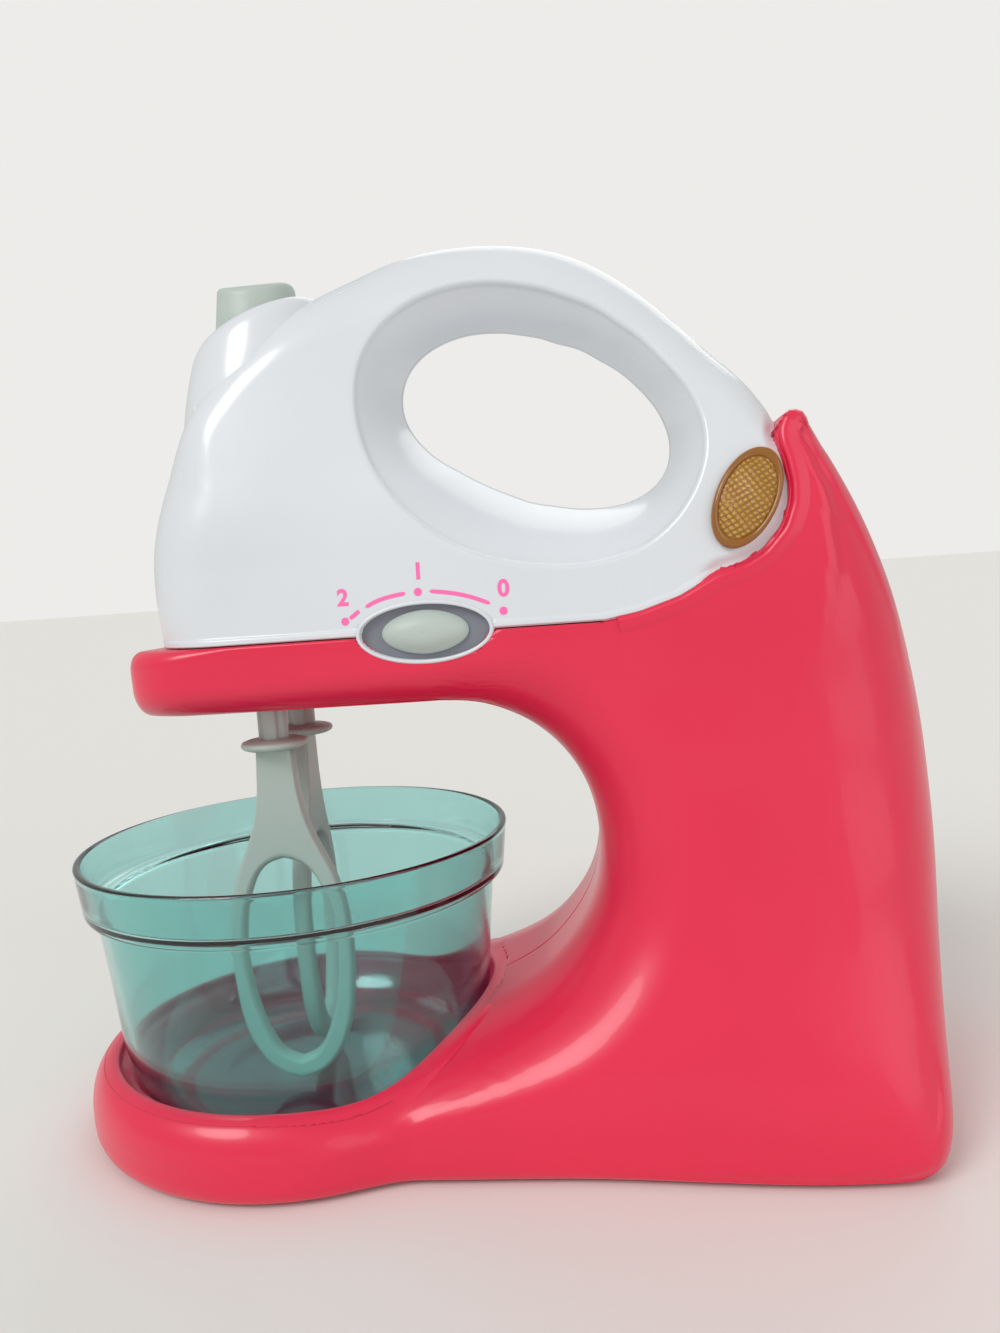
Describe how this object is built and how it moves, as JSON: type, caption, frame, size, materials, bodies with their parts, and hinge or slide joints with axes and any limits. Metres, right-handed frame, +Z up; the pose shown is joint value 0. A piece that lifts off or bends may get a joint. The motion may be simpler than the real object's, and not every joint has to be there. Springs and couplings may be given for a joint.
{
  "type": "toy stand mixer",
  "caption": "Toy stand mixer: pink C-shaped stand, white head with loop handle, button, slide switch, side lamps, paired turning beaters and a clear teal bowl",
  "frame": {"origin": "on the table, under the bowl's axis", "axes": "+Z up, -X at the nose, +X at the column, y = 0 is the parting plane of the mouldings"},
  "size_m": [0.2375, 0.122, 0.2315],
  "materials": {
    "stand_plastic": "hot pink moulded ABS, satin gloss",
    "head_plastic": "pearl white moulded ABS",
    "grey_plastic": "grey-green moulded plastic",
    "dark_plastic": "dark grey moulded plastic",
    "clear_teal": "clear teal polystyrene",
    "amber_clear": "amber prismatic lens",
    "inner_plastic": "natural acetal and ABS inside",
    "rubber": "soft black rubber",
    "steel": "zinc-plated steel",
    "brass": "sintered bronze bush",
    "cell_wrap": "plain dark cell sleeve"
  },
  "bodies": {
    "stand": {"batteries": "cell_wrap", "battery_box": "inner_plastic", "battery_contacts": "steel", "battery_door": "stand_plastic", "battery_door_screw": "steel", "button_seat": "inner_plastic", "button_spring": "steel", "button_switch": "inner_plastic", "gear_axle": "steel", "gearbox_base": "inner_plastic", "gearbox_top": "inner_plastic", "head_screws": "steel", "head_shell_far": "head_plastic", "head_shell_near": "head_plastic", "lamp_lens_far": "amber_clear", "lamp_lens_near": "amber_clear", "motor": "steel", "motor_holder": "inner_plastic", "rubber_feet": "rubber", "slide_switch": "inner_plastic", "spindle_bushes": "brass", "stand_screws": "steel", "stand_shell_far": "stand_plastic", "stand_shell_near": "stand_plastic", "switch_plate": "dark_plastic"},
    "bowl": {"bowl": "clear_teal"},
    "spindle_near": {"spindle_near": "inner_plastic"},
    "spindle_far": {"spindle_far": "inner_plastic"},
    "beater_near": {"beater_near": "grey_plastic"},
    "beater_far": {"beater_far": "grey_plastic"},
    "reduction": {"reduction_gear": "inner_plastic"},
    "motor_rotor": {"motor_pinion": "inner_plastic", "motor_shaft": "steel"},
    "button": {"top_button": "grey_plastic"},
    "slide_knob": {"switch_knob": "grey_plastic"}
  },
  "joints": [
    {"name": "bowl_turn", "type": "hinge", "parent": "stand", "child": "bowl", "pos_m": [0, 0, 0.03], "axis": [0, 0, 1], "continuous": true},
    {"name": "near_spin", "type": "hinge", "parent": "stand", "child": "spindle_near", "pos_m": [0, -0.013, 0.12], "axis": [0, 0, 1], "continuous": true},
    {"name": "far_spin", "type": "hinge", "parent": "stand", "child": "spindle_far", "pos_m": [0, 0.013, 0.12], "axis": [0, 0, 1], "continuous": true},
    {"name": "reduction_spin", "type": "hinge", "parent": "stand", "child": "reduction", "pos_m": [0.0189, -0.01499, 0.13], "axis": [0, 0, 1], "continuous": true},
    {"name": "motor_spin", "type": "hinge", "parent": "stand", "child": "motor_rotor", "pos_m": [0.0362, -0.01002, 0.137], "axis": [0, 0, 1], "continuous": true},
    {"name": "near_beater_pull", "type": "slide", "parent": "spindle_near", "child": "beater_near", "axis": [0, 0, -1], "range_m": [0, 0.0015]},
    {"name": "far_beater_pull", "type": "slide", "parent": "spindle_far", "child": "beater_far", "axis": [0, 0, -1], "range_m": [0, 0.0015]},
    {"name": "button_press", "type": "slide", "parent": "stand", "child": "button", "axis": [0, 0, -1], "range_m": [0, 0.003], "stiffness_N_per_m": 300, "springref_m": -0.0005, "deforming": ["button_spring"]},
    {"name": "switch_slide", "type": "slide", "parent": "stand", "child": "slide_knob", "axis": [1, 0, 0], "range_m": [-0.0045, 0.0045]}
  ],
  "couplings": [
    {"joint": "far_spin", "follows": "near_spin", "ratio": -1},
    {"joint": "reduction_spin", "follows": "near_spin", "ratio": -2.1667},
    {"joint": "motor_spin", "follows": "near_spin", "ratio": 7.5833}
  ]
}
